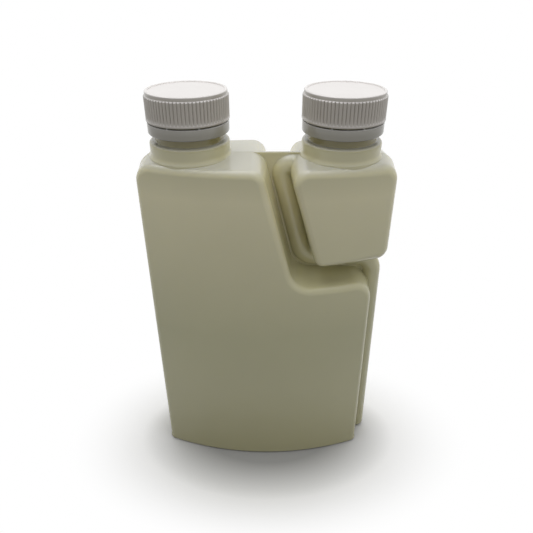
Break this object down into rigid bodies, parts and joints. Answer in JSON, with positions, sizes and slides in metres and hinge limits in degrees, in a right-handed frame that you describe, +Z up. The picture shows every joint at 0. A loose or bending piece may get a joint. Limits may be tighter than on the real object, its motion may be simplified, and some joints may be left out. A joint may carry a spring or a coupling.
{
  "type": "dosing bottle",
  "caption": "Twin-neck dosing bottle: flat squeezable reservoir that fills a measuring chamber through a moulded side tube, with ribbed screw caps.",
  "frame": {"origin": "middle of the base, on the surface the bottle stands on", "axes": "+Z up through the necks, +X from the reservoir neck to the dosing neck, -Y towards the front face"},
  "size_m": [0.137, 0.056, 0.233],
  "materials": {
    "bottle": "semi-translucent natural polyethylene, satin",
    "cap": "moulded polypropylene, satin",
    "band": "moulded polypropylene, satin",
    "liner": "foamed polyethylene wad"
  },
  "bodies": {
    "bottle": {"bottle_body": "bottle", "reservoir_tamper_band": "band", "dosing_tamper_band": "band"},
    "reservoir_cap_liner_body": {"reservoir_cap_liner": "liner"},
    "reservoir_cap_body": {"reservoir_cap": "cap"},
    "dosing_cap_liner_body": {"dosing_cap_liner": "liner"},
    "dosing_cap_body": {"dosing_cap": "cap"}
  },
  "joints": [
    {"name": "reservoir_cap_lift", "type": "slide", "parent": "bottle", "child": "reservoir_cap_liner_body", "axis": [0, 0, 1], "range_m": [0, 0.0084]},
    {"name": "reservoir_cap_turn", "type": "hinge", "parent": "reservoir_cap_liner_body", "child": "reservoir_cap_body", "pos_m": [-0.0402, 0, 0.2189], "axis": [0, 0, 1], "range_deg": [0, 720]},
    {"name": "dosing_cap_lift", "type": "slide", "parent": "bottle", "child": "dosing_cap_liner_body", "axis": [0, 0, 1], "range_m": [0, 0.0084]},
    {"name": "dosing_cap_turn", "type": "hinge", "parent": "dosing_cap_liner_body", "child": "dosing_cap_body", "pos_m": [0.0379, 0, 0.2189], "axis": [0, 0, 1], "range_deg": [0, 720]}
  ],
  "couplings": [
    {"joint": "reservoir_cap_lift", "follows": "reservoir_cap_turn", "m_per_rad": 0.00066845},
    {"joint": "dosing_cap_lift", "follows": "dosing_cap_turn", "m_per_rad": 0.00066845}
  ]
}
